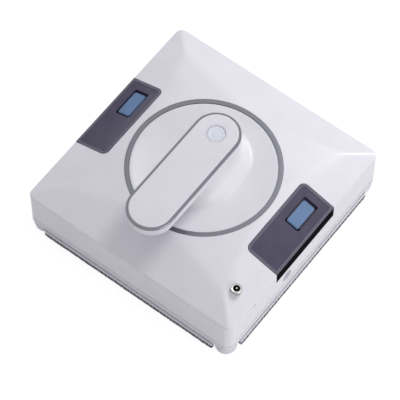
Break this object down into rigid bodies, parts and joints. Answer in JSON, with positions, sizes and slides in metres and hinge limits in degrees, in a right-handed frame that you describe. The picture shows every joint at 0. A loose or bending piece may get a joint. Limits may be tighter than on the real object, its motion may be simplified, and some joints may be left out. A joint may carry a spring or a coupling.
{
  "type": "window cleaning robot",
  "caption": "Square window cleaning robot: hip-shaped roof, round dish, overhanging handle with a power button, lift-out side water tanks, tracks, suction fan and cloth pad.",
  "frame": {"origin": "bottom centre of the box that holds the robot, on the glass side of the cloth", "axes": "+Z away from the glass, +Y from the dish's middle to the power button, +X to the right-hand water tank and the power jack"},
  "size_m": [0.2428, 0.2428, 0.107],
  "materials": {
    "white_shell": "smooth satin white moulding",
    "white_trim": "smooth white moulding",
    "silver_trim": "satin silver",
    "button_cap": "pale translucent cap",
    "smoked_tank": "glossy smoked moulding",
    "smoked_lid": "glossy smoked moulding",
    "cap_blue": "matt soft blue",
    "seal_rubber": "matt",
    "belt_rubber": "matt ribbed rubber",
    "nozzle_grey": "matt",
    "black_plastic": "matt moulded",
    "lens_black": "glossy dark window",
    "bright_steel": "bright turned",
    "plain_steel": "plain drawn",
    "brass": "cut",
    "board": "green board",
    "cell_wrap": "shrink-wrapped cell",
    "cloth": "dark loop pile"
  },
  "bodies": {
    "chassis": {"top_cover": "white_shell", "base_tray": "white_shell", "handle_base": "white_shell", "handle_cover": "white_shell", "dish_trim_ring": "silver_trim", "handle_trim": "silver_trim", "button_bezel": "white_trim", "button_spring": "plain_steel", "button_board": "board", "jack_collar": "bright_steel", "jack_insulator": "black_plastic", "jack_pin": "bright_steel", "jack_nut": "plain_steel", "status_lens": "lens_black", "pad_frame": "white_trim", "cleaning_cloth": "cloth", "probe_springs": "plain_steel", "probe_switches": "black_plastic", "idler_pins": "plain_steel", "fan_motor": "plain_steel", "fan_housing": "black_plastic", "fan_guard": "black_plastic", "fan_gasket": "seal_rubber", "battery_cells": "cell_wrap", "battery_holder": "black_plastic", "main_board": "board", "cover_screws": "plain_steel", "tank_seal_left": "seal_rubber", "spray_nozzle_left": "nozzle_grey", "atomiser_left": "black_plastic", "track_belt_left": "belt_rubber", "track_frame_left": "black_plastic", "gear_motor_left": "plain_steel", "tank_seal_right": "seal_rubber", "spray_nozzle_right": "nozzle_grey", "atomiser_right": "black_plastic", "track_belt_right": "belt_rubber", "track_frame_right": "black_plastic", "gear_motor_right": "plain_steel"},
    "button": {"power_button": "button_cap"},
    "probe_front_left": {"edge_probe_front_left": "white_trim"},
    "probe_front_right": {"edge_probe_front_right": "white_trim"},
    "probe_rear_left": {"edge_probe_rear_left": "white_trim"},
    "probe_rear_right": {"edge_probe_rear_right": "white_trim"},
    "fan": {"fan_impeller": "black_plastic", "fan_shaft": "plain_steel"},
    "drive_left": {"drive_wheel_left": "black_plastic", "drive_axle_left": "plain_steel"},
    "idler_left": {"idler_wheel_left": "black_plastic"},
    "pinion_left": {"motor_pinion_left": "brass"},
    "drive_right": {"drive_wheel_right": "black_plastic", "drive_axle_right": "plain_steel"},
    "idler_right": {"idler_wheel_right": "black_plastic"},
    "pinion_right": {"motor_pinion_right": "brass"},
    "water_tank_left": {"tank_left": "smoked_tank", "tank_lid_left": "smoked_lid"},
    "filler_cap_left": {"tank_cap_left": "cap_blue"},
    "water_tank_right": {"tank_right": "smoked_tank", "tank_lid_right": "smoked_lid"},
    "filler_cap_right": {"tank_cap_right": "cap_blue"}
  },
  "joints": [
    {"name": "button_press", "type": "slide", "parent": "chassis", "child": "button", "axis": [0, 0, -1], "range_m": [0, 0.0012], "stiffness_N_per_m": 400, "springref_m": -0.001, "deforming": ["button_spring"]},
    {"name": "probe_front_left_slide", "type": "slide", "parent": "chassis", "child": "probe_front_left", "axis": [0, 0, 1], "range_m": [0, 0.0015], "stiffness_N_per_m": 300, "springref_m": -0.002, "deforming": ["probe_springs"]},
    {"name": "probe_front_right_slide", "type": "slide", "parent": "chassis", "child": "probe_front_right", "axis": [0, 0, 1], "range_m": [0, 0.0015], "stiffness_N_per_m": 300, "springref_m": -0.002, "deforming": ["probe_springs"]},
    {"name": "probe_rear_left_slide", "type": "slide", "parent": "chassis", "child": "probe_rear_left", "axis": [0, 0, 1], "range_m": [0, 0.0015], "stiffness_N_per_m": 300, "springref_m": -0.002, "deforming": ["probe_springs"]},
    {"name": "probe_rear_right_slide", "type": "slide", "parent": "chassis", "child": "probe_rear_right", "axis": [0, 0, 1], "range_m": [0, 0.0015], "stiffness_N_per_m": 300, "springref_m": -0.002, "deforming": ["probe_springs"]},
    {"name": "fan_spin", "type": "hinge", "parent": "chassis", "child": "fan", "pos_m": [0, 0, 0.024], "axis": [0, 0, 1], "continuous": true},
    {"name": "drive_left_spin", "type": "hinge", "parent": "chassis", "child": "drive_left", "pos_m": [-0.074, -0.056, 0.0133], "axis": [1, 0, 0], "continuous": true},
    {"name": "idler_left_spin", "type": "hinge", "parent": "chassis", "child": "idler_left", "pos_m": [-0.074, 0.056, 0.0133], "axis": [1, 0, 0], "continuous": true},
    {"name": "pinion_left_spin", "type": "hinge", "parent": "chassis", "child": "pinion_left", "pos_m": [-0.0581, -0.056, 0.0269], "axis": [1, 0, 0], "continuous": true},
    {"name": "drive_right_spin", "type": "hinge", "parent": "chassis", "child": "drive_right", "pos_m": [0.074, -0.056, 0.0133], "axis": [1, 0, 0], "continuous": true},
    {"name": "idler_right_spin", "type": "hinge", "parent": "chassis", "child": "idler_right", "pos_m": [0.074, 0.056, 0.0133], "axis": [1, 0, 0], "continuous": true},
    {"name": "pinion_right_spin", "type": "hinge", "parent": "chassis", "child": "pinion_right", "pos_m": [0.0581, -0.056, 0.0269], "axis": [1, 0, 0], "continuous": true},
    {"name": "tank_left_lift", "type": "slide", "parent": "chassis", "child": "water_tank_left", "axis": [0, 0, 1], "range_m": [0, 0.03]},
    {"name": "cap_left_hinge", "type": "hinge", "parent": "water_tank_left", "child": "filler_cap_left", "pos_m": [-0.10054, 0.0055, 0.0606], "axis": [0.9525, 0, 0.3046], "range_deg": [0, 85]},
    {"name": "tank_right_lift", "type": "slide", "parent": "chassis", "child": "water_tank_right", "axis": [0, 0, 1], "range_m": [0, 0.03]},
    {"name": "cap_right_hinge", "type": "hinge", "parent": "water_tank_right", "child": "filler_cap_right", "pos_m": [0.10054, 0.0055, 0.0606], "axis": [0.9525, 0, -0.3046], "range_deg": [0, 85]}
  ],
  "couplings": [
    {"joint": "idler_left_spin", "follows": "drive_left_spin", "ratio": 1},
    {"joint": "pinion_left_spin", "follows": "drive_left_spin", "ratio": -1.4286},
    {"joint": "idler_right_spin", "follows": "drive_right_spin", "ratio": 1},
    {"joint": "pinion_right_spin", "follows": "drive_right_spin", "ratio": -1.4286}
  ]
}
